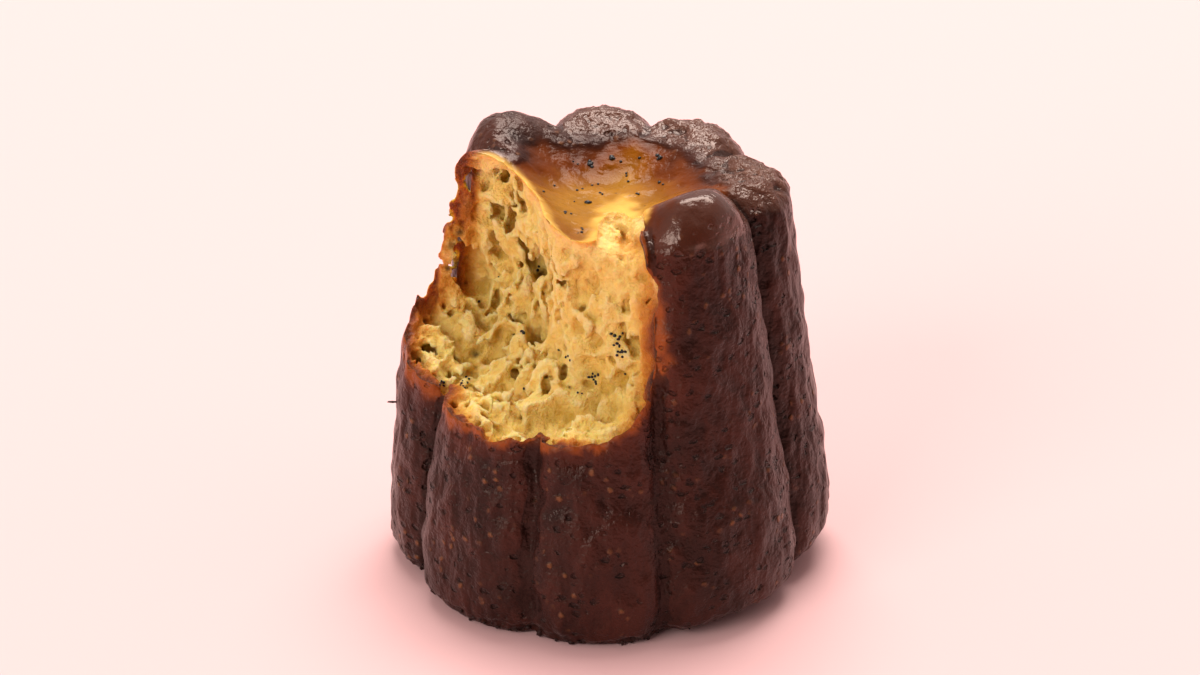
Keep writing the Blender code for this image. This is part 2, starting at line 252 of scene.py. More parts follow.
# Colours, as shares of red, green and blue
CRUST_DARK, CRUST_LIGHT = (0.013, 0.0034, 0.0022), (0.046, 0.0108, 0.0065)
# the second colour here is painted shade inside the crust's pits
SPECK_COLOUR, PIT_SHADE_COLOUR = (0.23, 0.090, 0.036), (0.005, 0.0018, 0.0013)
# the second colour here is painted sheen and glints on the craggy crown lobes
CROWN_COLOUR, CRAG_SHEEN_COLOUR = (0.062, 0.015, 0.006), (0.150, 0.060, 0.034)
NEAR_EDGE_COLOUR, EDGE_COLOUR = (0.11, 0.020, 0.007), (0.33, 0.075, 0.010)
LIP_COLOUR, SHADE_COLOUR = (0.84, 0.50, 0.095), (0.010, 0.0028, 0.0019)
# the first colour here is a painted highlight along the knob's seam ridge
# the second colour here is painted shade over holes and cracks that are not modelled
RIDGE_HIGHLIGHT_COLOUR, HOLE_SHADE_COLOUR = (0.12, 0.075, 0.055), (0.006, 0.0020, 0.0015)
CRUMB_DEEP, CRUMB_PALE = (0.86, 0.58, 0.12), (0.97, 0.76, 0.24)
# painted highlight on proud crumb, and painted shade in its hollows
CRUMB_PROUD_HIGHLIGHT, CRUMB_HOLLOW_SHADE = (0.96, 0.79, 0.38), (0.60, 0.36, 0.036)
# the second colour here is painted shade over holes in the crumb that are not modelled
CRUMB_DENSE, CRUMB_HOLE_SHADE = (0.92, 0.61, 0.18), (0.045, 0.016, 0.006)
GOLD_DEEP, GOLD_PALE = (0.82, 0.44, 0.06), (0.97, 0.72, 0.24)
SEED_COLOUR, CHAR_COLOUR = (0.006, 0.005, 0.006), (0.022, 0.006, 0.004)
FLOOR_COLOUR = (0.805, 0.505, 0.500)
# From the rim of the dish to its middle
SYRUP_STOPS = (
    (0.0, (0.060, 0.012, 0.004)), (0.3, (0.15, 0.031, 0.002)),
    (0.6, (0.25, 0.078, 0.002)), (1.0, (0.35, 0.150, 0.006)),
)
# From the skin inwards to the crumb
BAND_STOPS = (
    (0.0, (0.040, 0.010, 0.005)), (0.35, (0.24, 0.052, 0.009)),
    (0.65, (0.50, 0.160, 0.014)), (1.0, (0.70, 0.31, 0.035)),
)
JOSTLE_SIZE = 1.1 * MM  # of the noise that makes the outlines of spots uneven

# Floor and studio light
FLOOR_HALF = 1.5  # metres from the middle to an edge
STUDIO_COLOUR, STUDIO_FRONT, STUDIO_STRENGTH = (1.0, 0.80, 0.77), (0.20, 0.15, 0.14), 0.76
LAMP_COLOUR = (1.0, 0.94, 0.89)
# Name, place, what it points at, size in metres and power in watts
LAMPS = (
    ("behind", (0.10, 0.62, 1.30), (0.0, 0.0, 0.02), 1.1, 27.0),
    ("front_fill", (-0.90, -1.10, 0.80), (0.0, 0.0, 0.03), 0.9, 13.0),
)


def smooth_step(low, high, value):
    """0 below low, 1 above high, and an S curve between."""
    share = np.clip((value - low) / (high - low), 0.0, 1.0)
    return share * share * (3.0 - 2.0 * share)


def bell(azimuth, centre, spread):
    """1 at the centre azimuth, fading on both sides of it."""
    apart = (azimuth - centre + 180.0) % 360.0 - 180.0
    return np.exp(-((apart / spread) ** 2))


def camera_place():
    """Behind the front of the cake by the camera's distance, and raised by its angle."""
    rise = math.radians(CAMERA_RISE)
    return Vector((0.0, -CAMERA_DISTANCE * math.cos(rise), CAMERA_DISTANCE * math.sin(rise)))


def photo_ray(across, down):
    """Where the camera is, and the way from it through a pixel of the photo."""
    rise = math.radians(CAMERA_RISE)
    ahead = Vector((0.0, math.cos(rise), -math.sin(rise)))
    up = Vector((0.0, math.sin(rise), math.cos(rise)))
    right = Vector((1.0, 0.0, 0.0))
    way = ahead + right * ((across - ORIGIN_PIXEL[0]) / CAMERA_FOCAL)
    way = way + up * ((ORIGIN_PIXEL[1] - down) / CAMERA_FOCAL)
    return camera_place(), way.normalized()


# Unevenness


def lattice_noise(points, size, seed):
    """Smooth noise from -1 to 1: random values on a lattice of this size, with an S curve between them."""
    table = np.random.default_rng(seed).uniform(-1.0, 1.0, (LATTICE_CELLS,) * 3).astype(np.float32)
    cell = points / size
    base = np.floor(cell)
    share = cell - base
    share = share * share * (3.0 - 2.0 * share)
    base = base.astype(np.int64)
    total = np.zeros(points.shape[:-1])
    for corner in np.ndindex(2, 2, 2):
        index = (base + corner) % LATTICE_CELLS
        weight = np.prod(np.where(corner, share, 1.0 - share), axis=-1)
        total += weight * table[index[..., 0], index[..., 1], index[..., 2]]
    return total * 1.5


def grid_axes():
    """The grid's places along x, y and z."""
    counts = np.round((GRID_HIGH - GRID_LOW) / GRID_STEP).astype(int) + 1
    return [low + GRID_STEP * np.arange(count) for low, count in zip(GRID_LOW, counts)]


def spread_weights(axis, low, spacing, count):
    """How much each coarse value counts at each fine place along one axis: a cubic B-spline."""
    away = np.abs((axis[:, None] - low) / spacing - np.arange(count)[None, :])
    near = 2.0 / 3.0 - away**2 + away**3 / 2.0
    far = (2.0 - np.minimum(away, 2.0)) ** 3 / 6.0
    return np.where(away < 1.0, near, far).astype(np.float32)


def spread_over_grid(coarse, axes, lows, spacing):
    """Values on a coarse lattice, blended smoothly onto the fine grid along one axis after another."""
    fine = coarse.astype(np.float32)
    for number, axis in enumerate(axes):
        weights = spread_weights(axis, lows[number], spacing, coarse.shape[number])
        fine = np.moveaxis(np.tensordot(weights, fine, axes=(1, number)), 0, number)
    return fine


def grid_noise(axes, size, seed, upright=1.0):
    """Smooth noise over the grid, near -1 to 1: random values this far apart, blended by splines."""
    axes = [axes[0], axes[1], axes[2] / upright]
    lows = [axis[0] - 2.0 * size for axis in axes]
    counts = [int((axis[-1] - low) / size) + 4 for axis, low in zip(axes, lows)]
    coarse = np.random.default_rng(seed).uniform(-1.0, 1.0, counts)
    return 2.0 * spread_over_grid(coarse, axes, lows, size)


# The skin


def meridian():
    """Radius and height of each row, from the middle of the underside to the middle of the crown.

    The last two columns say whether a row is on the crown, and how far it is dished.
    """
    rows = []
    foot_edge = SIDE_PROFILE[0, 1] - FOOT_RADIUS
    for share in UNDERSIDE_ROWS:
        rows.append((share * foot_edge, 0.0, 0.0, 0.0))
    for angle in np.radians(np.linspace(-90.0, 0.0, FOOT_STEPS, endpoint=False)):
        height = FOOT_RADIUS * (1.0 + math.sin(angle))
        rows.append((foot_edge + FOOT_RADIUS * math.cos(angle), height, 0.0, 0.0))
    for height in np.linspace(FOOT_RADIUS, HEIGHT - RIM_RADIUS, SIDE_STEPS):
        radius = np.interp(height, SIDE_PROFILE[:, 0], SIDE_PROFILE[:, 1])
        rows.append((radius, height, 0.0, 0.0))
    rim_edge = rows[-1][0] - RIM_RADIUS
    for angle in np.radians(np.linspace(0.0, RIM_TURN, RIM_STEPS)[1:]):
        height = HEIGHT - RIM_RADIUS * (1.0 - math.sin(angle))
        rows.append((rim_edge + RIM_RADIUS * math.cos(angle), height, 1.0, 0.0))
    inner_edge, top = rows[-1][:2]
    for share in np.linspace(0.0, DISH_END, DISH_STEPS)[1:]:
        radius = inner_edge * (1.0 - share)
        dished = float(smooth_step(inner_edge, DISH_FLOOR, radius))
        rows.append((radius, top - DISH_DEPTH * dished, 1.0, dished))
    return np.array(rows)


def valley_press(azimuth, height, softness):
    """How far the valleys press the surface inwards, and their shape alone, 0 on a crest and 1 in a valley.

    Between two valleys the lobe is the arch (1 - |s|^flatness)^power, with s from -1 to 1 across it.
    """
    table = np.vstack([VALLEYS, VALLEYS[0] + (360.0, 0.0, 0.0, 0.0)])
    edges = table[:, 0]
    turned = (azimuth - edges[0]) % 360.0 + edges[0]
    lobe = np.clip(np.searchsorted(edges, turned, side="right") - 1, 0, len(VALLEYS) - 1)
    across = (turned - edges[lobe]) / (edges[lobe + 1] - edges[lobe]) * 2.0 - 1.0
    nearest = np.where(across < 0.0, lobe, lobe + 1)
    rise = np.clip(height / HEIGHT, 0.0, 1.0)
    depth = (table[nearest, 1] * (1.0 - rise) + table[nearest, 2] * rise) * MM
    flatness = table[nearest, 3] * (1.0 - softness) + 2.0 * softness
    power = ARCH_POWER * (1.0 - softness) + softness
    shape = 1.0 - (1.0 - np.abs(across) ** flatness) ** power
    return depth * shape, shape


def side_depth(x, y, z):
    """How far a place lies inwards of the fluted side, along the radius."""
    rim_softness = RIM_SOFTNESS * smooth_step(*RIM_SOFTENING, z)
    press, valley = valley_press(np.degrees(np.arctan2(x, -y)), z, rim_softness)
    crest = np.interp(z, SIDE_PROFILE[:, 0], SIDE_PROFILE[:, 1])
    rounding = np.clip((z - HEIGHT + RIM_RADIUS) / RIM_RADIUS, 0.0, 1.0)
    crest = crest - RIM_RADIUS * (1.0 - np.sqrt(1.0 - rounding**2))
    return crest - press - np.hypot(x, y), valley


def ripple(x, y, z):
    """A slow unevenness of the whole surface, from -1 to 1."""
    return (
        np.sin(x / (3.1 * MM) + 1.3 * np.sin(z / (5.7 * MM)))
        + np.sin(y / (2.7 * MM) + 1.7 * np.sin(x / (6.3 * MM) + 0.8))
        + np.sin(z / (3.9 * MM) + 1.1 * np.sin(y / (4.9 * MM) + 2.1))
    ) / 3.0


def skin_points():
    """The whole cake's surface as a grid of points, and whether each row is on the crown.

    A point is the meridian's radius less the valley's press plus the swelling, turned by its azimuth, and
    its height is the meridian's less the crown's drop and sag plus the foot's lift.
    """
    rows = meridian()
    azimuth = np.linspace(-180.0, 180.0, AZIMUTH_STEPS, endpoint=False)[None, :]
    radius, height, crown, dished = (rows[:, k][:, None] for k in range(4))
    reach = crown * smooth_step(*CROWN_FADE, radius) + (1.0 - crown) * smooth_step(*UNDERSIDE_FADE, radius)
    rim_softness = RIM_SOFTNESS * smooth_step(*RIM_SOFTENING, height)
    softness = np.maximum(rim_softness, crown * (1.0 - smooth_step(*CROWN_SOFTENING, radius)))
    press, valley = valley_press(azimuth, height, softness)
    swell = sum(
        size * MM * bell(azimuth, centre, spread) * np.exp(-(((height - level * MM) / (tall * MM)) ** 2))
        for centre, spread, level, tall, size in SWELLINGS
    )
    out = radius - press * reach + swell * (1.0 - crown * (1.0 - smooth_step(*CROWN_FADE, radius)))
    lift = sum(size * MM * bell(azimuth, centre, spread) for centre, spread, size in FOOT_LIFTS)
    lift = lift * smooth_step(*FOOT_LIFT_RADII, radius) * (1.0 - smooth_step(*FOOT_LIFT_HEIGHTS, height))
    sag = sum(size * MM * bell(azimuth, centre, spread) for centre, spread, size in CROWN_SAGS)
    crowned = smooth_step(0.84 * HEIGHT, HEIGHT, height + DISH_DEPTH * dished)
    drop = (VALLEY_DROP * valley + sag) * crowned * reach
    x = out * np.sin(np.radians(azimuth))
    y = -out * np.cos(np.radians(azimuth))
    from_sag = ((x - SAG_MIDDLE[0]) ** 2 + (y - SAG_MIDDLE[1]) ** 2) / SAG_SPREAD**2
    z = height - drop + lift - SAG_DEPTH * np.exp(-from_sag) * crown
    rough = RIPPLE * ripple(x, y, z)
    grow = 1.0 + rough / np.maximum(out, 8.0 * MM)
    return np.stack([x * grow, y * grow, z + rough * crowned], axis=-1), crown


def grid_normals(points):
    """Outward normals of a grid of points that closes round the axis."""
    round_way = np.roll(points, -1, axis=1) - np.roll(points, 1, axis=1)
    up_way = np.gradient(points, axis=0)
    normals = np.cross(round_way, up_way)
    return normals / np.maximum(np.linalg.norm(normals, axis=-1, keepdims=True), 1e-12)


def crag_strength(azimuth):
    """How craggy the crown is at this azimuth, 0 for smooth."""
    return sum(size * bell(azimuth, centre, spread) for centre, spread, size in CRAGS)


def textured_skin():
    """The skin less its baked-in relief along the normal, so that it only ever goes inwards."""
    points, crown = skin_points()
    normals = grid_normals(points)
    radius = np.hypot(points[..., 0], points[..., 1])
    azimuth = np.degrees(np.arctan2(points[..., 0], -points[..., 1]))
    height = points[..., 2]
    craggy = crag_strength(azimuth) * smooth_step(*CRAG_RADII, radius) * smooth_step(*CRAG_HEIGHTS, height)
    coarse, small = (np.abs(lattice_noise(points, size, 13 + k)) for k, size in enumerate(RUBBLE_SIZES))
    rubble = coarse + 0.8 * small
    low = 1.0 - smooth_step(*RAGGED_HEIGHTS, height)
    valley = side_depth(*np.moveaxis(points, -1, 0))[1]
    puckers = 1.0 + lattice_noise(points * PUCKER_STRETCH, PUCKER_SIZE, 12)
    relief = SWELL_RELIEF * (1.0 + lattice_noise(points, SWELL_SIZE, 11))
    relief += PUCKER_RELIEF * puckers * (1.0 - 0.6 * crown)
    relief += RUBBLE_RELIEF * craggy * rubble
    relief += RAGGED_RELIEF * low * np.abs(lattice_noise(points, RAGGED_SIZE, 15))
    shallow = 1.0 - 0.8 * bell(azimuth, FRONT_VALLEY, FRONT_SPREAD)
    relief += GROOVE_RELIEF * smooth_step(GROOVE_BEGIN, 1.0, valley) * (1.0 - crown) * shallow
    standing = smooth_step(0.0, 0.6 * MM, height)
    points = points - normals * (relief * standing)[..., None]
    return np.clip(points, cad_low, cad_high)


def skin_faces(rows, columns):
    """Quads between neighbouring rows, closed round the axis."""
    first = np.arange(rows - 1)[:, None] * columns
    column = np.arange(columns)[None, :]
    following = (column + 1) % columns
    corners = (first + column, first + following, first + columns + following, first + columns + column)
    return np.stack(corners, axis=-1).reshape(-1, 4)


def mesh_object(name, points, faces):
    """A new object in the scene from points and faces."""
    mesh = bpy.data.meshes.new(name)
    mesh.from_pydata(points.tolist(), [], faces)
    mesh.update()
    made = bpy.data.objects.new(name, mesh)
    bpy.context.scene.collection.objects.link(made)
    return made


def closed_skin(name, points):
    """The grid of points as one closed mesh with a face at each pole."""
    rows, columns = points.shape[:2]
    faces = skin_faces(rows, columns).tolist()
    faces.append(list(range(columns))[::-1])
    faces.append(list(range((rows - 1) * columns, rows * columns)))
    return mesh_object(name, points.reshape(-1, 3), faces)


def vertex_array(mesh):
    points = np.empty(len(mesh.vertices) * 3)
    mesh.vertices.foreach_get("co", points)
    return points.reshape(-1, 3)


def edge_ends(mesh):
    """The two vertices of every edge."""
    ends = np.empty(len(mesh.edges) * 2, np.int64)
    mesh.edges.foreach_get("vertices", ends)
    return ends.reshape(-1, 2).T


def surface_tree(mesh):
    """A tree that finds the nearest place on a mesh, or where a ray meets it."""
    faces = [face.vertices[:] for face in mesh.polygons]
    return BVHTree.FromPolygons([vert.co for vert in mesh.vertices], faces)


# The bite


def scoop_field(points):
    """Negative inside the bite and positive in the cake, roughly in metres.

    Each scoop is a squarish ellipsoid, and neighbouring ones are joined by a rounded minimum.
    """
    joined = None
    for centre_mm, half_mm, turn in SCOOPS:
        cosine, sine = math.cos(math.radians(turn)), math.sin(math.radians(turn))
        away = points - np.array(centre_mm) * MM
        along = away[..., 0] * cosine + away[..., 1] * sine
        across = away[..., 1] * cosine - away[..., 0] * sine
        half = np.array(half_mm) * MM
        total = np.abs(along / half[0]) ** SCOOP_SQUARENESS
        total += np.abs(across / half[1]) ** SCOOP_SQUARENESS
        total += np.abs(away[..., 2] / half[2]) ** SCOOP_SQUARENESS
        field = (total ** (1.0 / SCOOP_SQUARENESS) - 1.0) * half.min()
        if joined is None:
            joined = field
            continue
        blend = np.clip(1.0 - np.abs(joined - field) / SCOOP_BLEND, 0.0, 1.0)
        joined = np.minimum(joined, field) - blend**3 * SCOOP_BLEND / 6.0
    return joined


def depth_over_grid(axes, skin_tree):
    """How deep each grid point lies under the smooth skin, from a coarse lattice of measured depths."""
    spacing = 1.0 * MM
    lows = [axis[0] - spacing for axis in axes]
    counts = [int((axis[-1] - low) / spacing) + 3 for axis, low in zip(axes, lows)]
    coarse_axes = [low + spacing * np.arange(count) for low, count in zip(lows, counts)]
    places = np.stack(np.meshgrid(*coarse_axes, indexing="ij"), axis=-1).reshape(-1, 3)
    depths = signed_depths(places, skin_tree).reshape(counts)
    return spread_over_grid(depths, axes, lows, spacing)


def signed_depths(places, skin_tree):
    """Distance from each place to the skin, positive inside the cake."""
    depths = np.empty(len(places))
    for number, place in enumerate(places):
        near, normal, _, distance = skin_tree.find_nearest(Vector(place))
        outside = (Vector(place) - near).dot(normal) > 0.0
        depths[number] = -distance if outside else distance
    return depths


def draw_pores(axes, field, depth):
    """Seeded pores near the torn surface, larger ones first and none overlapping much.

    Each is (centre, radius). They are larger and closer together towards the left.
    """
    random = np.random.default_rng(5)
    band = (field > PORE_BAND[0]) & (field < PORE_BAND[1])
    choices = np.argwhere(band)
    picked = choices[random.integers(0, len(choices), PORE_TRIES)]
    centres = np.stack([axis[picked[:, k]] for k, axis in enumerate(axes)], axis=1)
    centres += random.uniform(-0.5, 0.5, centres.shape) * GRID_STEP
    leftness = smooth_step(*LEFT_PART, centres[:, 0])
    low, high = PORE_RADII
    radii = low + (high - low) * random.random(PORE_TRIES) ** (4.5 - 1.8 * leftness)
    radii *= 0.6 + 0.4 * leftness
    kept_centres, kept_radii = np.empty((0, 3)), np.empty(0)
    for number in np.argsort(-radii):
        gaps = np.linalg.norm(kept_centres - centres[number], axis=1) - 0.92 * (kept_radii + radii[number])
        crowded = len(gaps) and gaps.min() < 0.0
        thinned = random.random() > 0.35 + 0.65 * leftness[number]
        shallow = depth[tuple(picked[number])] < PORE_UPRIGHT * radii[number] + 0.9 * MM
        in_dense = np.linalg.norm(centres[number] - DENSE_MIDDLE) < DENSE_REACH
        if crowded or thinned or shallow or in_dense:
            continue
        kept_centres = np.vstack([kept_centres, centres[number]])
        kept_radii = np.append(kept_radii, radii[number])
    return kept_centres, kept_radii


def open_pore(field, axes, centre, half):
    """Takes one ellipsoid out of the crumb, working only on the grid round it."""
    spans = []
    for axis, middle, reach in zip(axes, centre, half):
        first = np.searchsorted(axis, middle - reach - 2.0 * GRID_STEP)
        last = np.searchsorted(axis, middle + reach + 2.0 * GRID_STEP)
        spans.append(slice(first, last))
    away = [(axis[span] - middle) / reach for axis, span, middle, reach in zip(axes, spans, centre, half)]
    total = away[0][:, None, None] ** 2 + away[1][None, :, None] ** 2 + away[2][None, None, :] ** 2
    hollow = (np.sqrt(total) - 1.0) * min(half)
    block = tuple(spans)
    field[block] = np.minimum(field[block], hollow)


def add_flake(field, axes, centre, half):
    """Adds one ellipsoid of crumb, working only on the grid round it."""
    turned = -field
    open_pore(turned, axes, centre, half)
    np.negative(turned, out=field)


def seen_in_bite(across, down):
    """The place on the far side of the smooth bite that the camera sees at this pixel of the photo."""
    eye, way = photo_ray(across, down)
    far = np.linspace(CAMERA_DISTANCE - 60.0 * MM, CAMERA_DISTANCE + 60.0 * MM, 1200)[:, None]
    places = np.array(eye) + far * np.array(way)
    field = scoop_field(places)
    inside = np.flatnonzero(field < 0.0)
    return places[inside[-1]] if len(inside) else places[np.argmin(field)]


def sample_grid(field, index):
    """The field between its grid points, by straight blending of the eight round each place."""
    index = np.clip(index, 0.0, np.array(field.shape) - 1.001)
    base = index.astype(np.int32)
    share = (index - base).astype(np.float32)
    total = np.zeros(index.shape[:-1], np.float32)
    for corner in np.ndindex(2, 2, 2):
        weight = np.prod(np.where(corner, share, 1.0 - share), axis=-1)
        total += weight * field[base[..., 0] + corner[0], base[..., 1] + corner[1], base[..., 2] + corner[2]]
    return total


def grid_places(axes):
    """Every place of the grid as one array."""
    return np.stack(np.meshgrid(*axes, indexing="ij"), axis=-1)


def holed_bite(axes, places, depth):
    """The smooth scoops with their pores opened and their flakes added, all bent together by a warp."""
    field = scoop_field(places).astype(np.float32)
    centres, radii = draw_pores(axes, field, depth)
    random = np.random.default_rng(6)
    for centre, radius in zip(centres, radii):
        stretch = random.uniform(0.8, 1.2, 3) * (1.0, 1.0, PORE_UPRIGHT)
        open_pore(field, axes, centre, radius * stretch)
    for pixel, half in SEEN_PORES:
        open_pore(field, axes, seen_in_bite(*pixel), np.array(half) * MM)
    for pixel, half in SEEN_FLAKES:
        add_flake(field, axes, seen_in_bite(*pixel), np.array(half) * MM)

    straight = grid_places([np.arange(len(axis)) for axis in axes])
    bent = straight.astype(np.float32)
    for layer, (size, amount) in enumerate(WARP_LAYERS):
        for way in range(3):
            bent[..., way] += amount / GRID_STEP * grid_noise(axes, size, 100 + 10 * layer + way)
    inner = smooth_step(*FIRM_DEPTHS, depth)
    bent = straight + (bent - straight) * (0.2 + 0.8 * inner[..., None])
    return sample_grid(field, bent)


def torn_relief(axes, places, depth, custard):
    """How far the torn crumb reaches behind the field: sway, pockets, lumps, flakes and grain, added up."""
    left = smooth_step(*LEFT_PART, axes[0])[:, None, None]
    outer_left = smooth_step(*OUTER_LEFT, axes[0])[:, None, None]
    inner = smooth_step(*FIRM_DEPTHS, depth)
    smooth_rim = custard * (1.0 - smooth_step(*RIM_DEPTHS, depth))
    from_dense = places - np.array(DENSE_MIDDLE, np.float32)
    dense = np.exp(-(from_dense**2).sum(axis=-1) / DENSE_REACH**2)
    relief = SWAY_DEPTH * grid_noise(axes, SWAY_SIZE, 200)
    for layer, (size, deep, begin, end, at_right) in enumerate(POCKETS):
        strength = (at_right + (1.0 - at_right) * left) * (1.0 - 0.5 * smooth_rim) * (1.0 - 0.9 * dense)
        uneven = grid_noise(axes, size, 210 + layer, POCKET_UPRIGHT)
        relief = relief + deep * strength * smooth_step(begin, end, uneven)
    relief = relief - LUMP_DEPTH * (np.abs(grid_noise(axes, LUMP_SIZE, 220)) - 0.4) * (1.0 - 0.6 * left)
    flakes = 1.0 - 2.0 * np.abs(grid_noise(axes, FLAKE_SIZE, 230, 1.3))
    relief = relief - FLAKE_DEPTH * flakes * (0.3 + 0.7 * left)
    relief = relief + GRAIN_DEPTH * grid_noise(axes, GRAIN_SIZE, 231)
    torn = TORN_SHARE * outer_left * (1.0 - smooth_step(*TORN_HEIGHTS, axes[2])[None, None, :])
    return relief * ((0.25 + torn + (0.75 - torn) * inner) * (1.0 - 0.3 * smooth_rim))


def proud_crust(axes, depth, custard):
    """How far the crust stands proud of the crumb: most at the far left, ragged, and fading at the crown."""
    outer_left = smooth_step(*OUTER_LEFT, axes[0])[:, None, None]
    crust = 1.0 - smooth_step(*CRUST_THICKNESS, depth - CRUST_LEFT_EXTRA * outer_left)
    ragged = sum(share * grid_noise(axes, size, 240 + k) for k, (size, share) in enumerate(PROUD_LAYERS))
    below_crown = 1.0 - smooth_step(*PROUD_END, axes[2])[None, None, :]
    proud = np.maximum(0.4 + 0.7 * outer_left + ragged, 0.6 * outer_left)
    return CRUST_PROUD * crust * (proud * (1.0 - 0.9 * custard) * (0.2 + 0.8 * below_crown))


def bite_field(skin_tree):
    """The bite's field on the grid: the holed scoops less their torn relief, plus the proud crust."""
    axes = grid_axes()
    places = grid_places(axes).astype(np.float32)
    depth = depth_over_grid(axes, skin_tree)
    custard = smooth_step(*CUSTARD_DEPTHS, side_depth(*np.moveaxis(places, -1, 0))[0])
    custard = custard * smooth_step(*CUSTARD_HEIGHTS, axes[2])[None, None, :]
    field = holed_bite(axes, places, depth)
    field = field - torn_relief(axes, places, depth, custard)
    field += proud_crust(axes, depth, custard)
    for way in range(3):
        ends = np.moveaxis(field, way, 0)
        ends[0] = ends[-1] = 0.5 * GRID_STEP
    return axes, field


def without_saddles(field):
    """The field with no grid face whose corners are inside and outside crosswise, by opening such faces."""
    field = field.copy()
    while True:
        inside = field < 0.0
        opened = np.zeros(field.shape, bool)
        for way in range(3):
            low, high = slice(0, -1), slice(1, None)
            square = []
            for first, second in ((low, low), (low, high), (high, high), (high, low)):
                block = [first, second]
                block.insert(way, slice(None))
                square.append(tuple(block))
            a, b, c, d = (inside[block] for block in square)
            saddle = (a == c) & (b == d) & (a != b)
            for block in square:
                opened[block] |= saddle
        opened &= ~inside
        if not opened.any():
            return field
        field[opened] = -0.05 * GRID_STEP


def surface_net(axes, field):
    """The level surface of a field as points and quads.

    Each grid cell that the surface crosses gets one point, the mean of its edge crossings, and each
    grid edge that it crosses gets one quad between the four cells round that edge.
    """
    field = without_saddles(field)
    inside = field < 0.0
    shape = np.array(field.shape) - 1
    corners = list(np.ndindex(2, 2, 2))
    count = sum(
        inside[tuple(slice(first, first + span) for first, span in zip(corner, shape))].astype(np.int8)
        for corner in corners
    )
    cells = np.argwhere((count > 0) & (count < 8))
    total = np.zeros((len(cells), 3))
    crossings = np.zeros(len(cells))
    for start in corners:
        for way in range(3):
            if start[way]:
                continue
            end = tuple(1 if k == way else start[k] for k in range(3))
            first = field[tuple((cells + start).T)]
            second = field[tuple((cells + end).T)]
            crossed = (first < 0.0) != (second < 0.0)
            share = np.where(crossed, first / np.where(crossed, first - second, 1.0), 0.0)
            place = np.tile(np.array(start, float), (len(cells), 1))
            place[:, way] += share
            total += place * crossed[:, None]
            crossings += crossed
    points = cells + total / crossings[:, None]
    points = np.array([axis[0] for axis in axes]) + points * GRID_STEP

    number = np.full(tuple(shape), -1, np.int64)
    number[tuple(cells.T)] = np.arange(len(cells))
    faces = []
    for way in range(3):
        side, other = (way + 1) % 3, (way + 2) % 3
        here = [slice(1, -1)] * 3
        here[way] = slice(0, -1)
        beyond = list(here)
        beyond[way] = slice(1, None)
        start, end = inside[tuple(here)], inside[tuple(beyond)]
        edges = np.argwhere(start != end)
        flip = start[tuple(edges.T)]
        edges[:, side] += 1
        edges[:, other] += 1
        ring = []
        for back_side, back_other in ((1, 1), (0, 1), (0, 0), (1, 0)):
            cell = edges.copy()
            cell[:, side] -= back_side
            cell[:, other] -= back_other
            ring.append(number[tuple(cell.T)])
        ring = np.stack(ring, axis=1)
        ring[~flip] = ring[~flip][:, ::-1]
        faces.append(ring)
    return points, np.concatenate(faces)


def in_largest_part(starts, ends, count):
    """Which of the points belong to the largest connected part, from the two ends of every edge."""
    label = np.arange(count)
    while True:
        low = np.minimum(label[starts], label[ends])
        new = label.copy()
        np.minimum.at(new, starts, low)
        np.minimum.at(new, ends, low)
        new = new[new]
        if np.array_equal(new, label):
            break
        label = new
    names, sizes = np.unique(label, return_counts=True)
    return label == names[np.argmax(sizes)]


def without_bubbles(points, faces):
    """Only the largest part of the bite's surface: sealed bubbles are left out."""
    kept = in_largest_part(faces.ravel(), np.roll(faces, -1, axis=1).ravel(), len(points))
    renumber = np.cumsum(kept) - 1
    return points[kept], renumber[faces[kept[faces[:, 0]]]]


def drop_scraps(mesh):
    """Takes away the loose scraps that the tearing leaves beside the cake."""
    kept = in_largest_part(*edge_ends(mesh), len(mesh.vertices))
    bm = bmesh.new()
    bm.from_mesh(mesh)
    bm.verts.ensure_lookup_table()
    bmesh.ops.delete(bm, geom=[bm.verts[number] for number in np.flatnonzero(~kept)], context="VERTS")
    bm.to_mesh(mesh)
    bm.free()


def close_gaps(mesh):
    """Mends the few spots where thinning left an edge with more or fewer than two faces."""
    bm = bmesh.new()
    bm.from_mesh(mesh)
    for _ in range(MENDING_ROUNDS):
        bad = [edge for edge in bm.edges if len(edge.link_faces) != 2]
        if not bad:
            break
        bmesh.ops.delete(bm, geom=list({vert for edge in bad for vert in edge.verts}), context="VERTS")
        bmesh.ops.holes_fill(bm, edges=[edge for edge in bm.edges if edge.is_boundary], sides=0)
    bm.to_mesh(mesh)
    bm.free()


def keep_mesh(made):
    """Keeps what the modifiers give as the mesh itself."""
    evaluated = made.evaluated_get(bpy.context.evaluated_depsgraph_get())
    mesh = bpy.data.meshes.new_from_object(evaluated)
    made.modifiers.clear()
    made.data = mesh


def cut_bite(cake, cutter):
    """Takes the bite out of the cake, thins out its smooth parts and keeps the result as its mesh."""
    cut = cake.modifiers.new("bite", "BOOLEAN")
    cut.operation = "DIFFERENCE"
    cut.solver = "MANIFOLD"
    cut.material_mode = "TRANSFER"
    cut.object = cutter
    keep_mesh(cake)
    drop_scraps(cake.data)
    whole = sum(len(face.vertices) - 2 for face in cake.data.polygons)
    thin = cake.modifiers.new("thinning", "DECIMATE")
    thin.ratio = MOST_TRIANGLES / whole
    keep_mesh(cake)
    close_gaps(cake.data)
    drop_scraps(cake.data)
    bpy.data.objects.remove(cutter)


# Shading


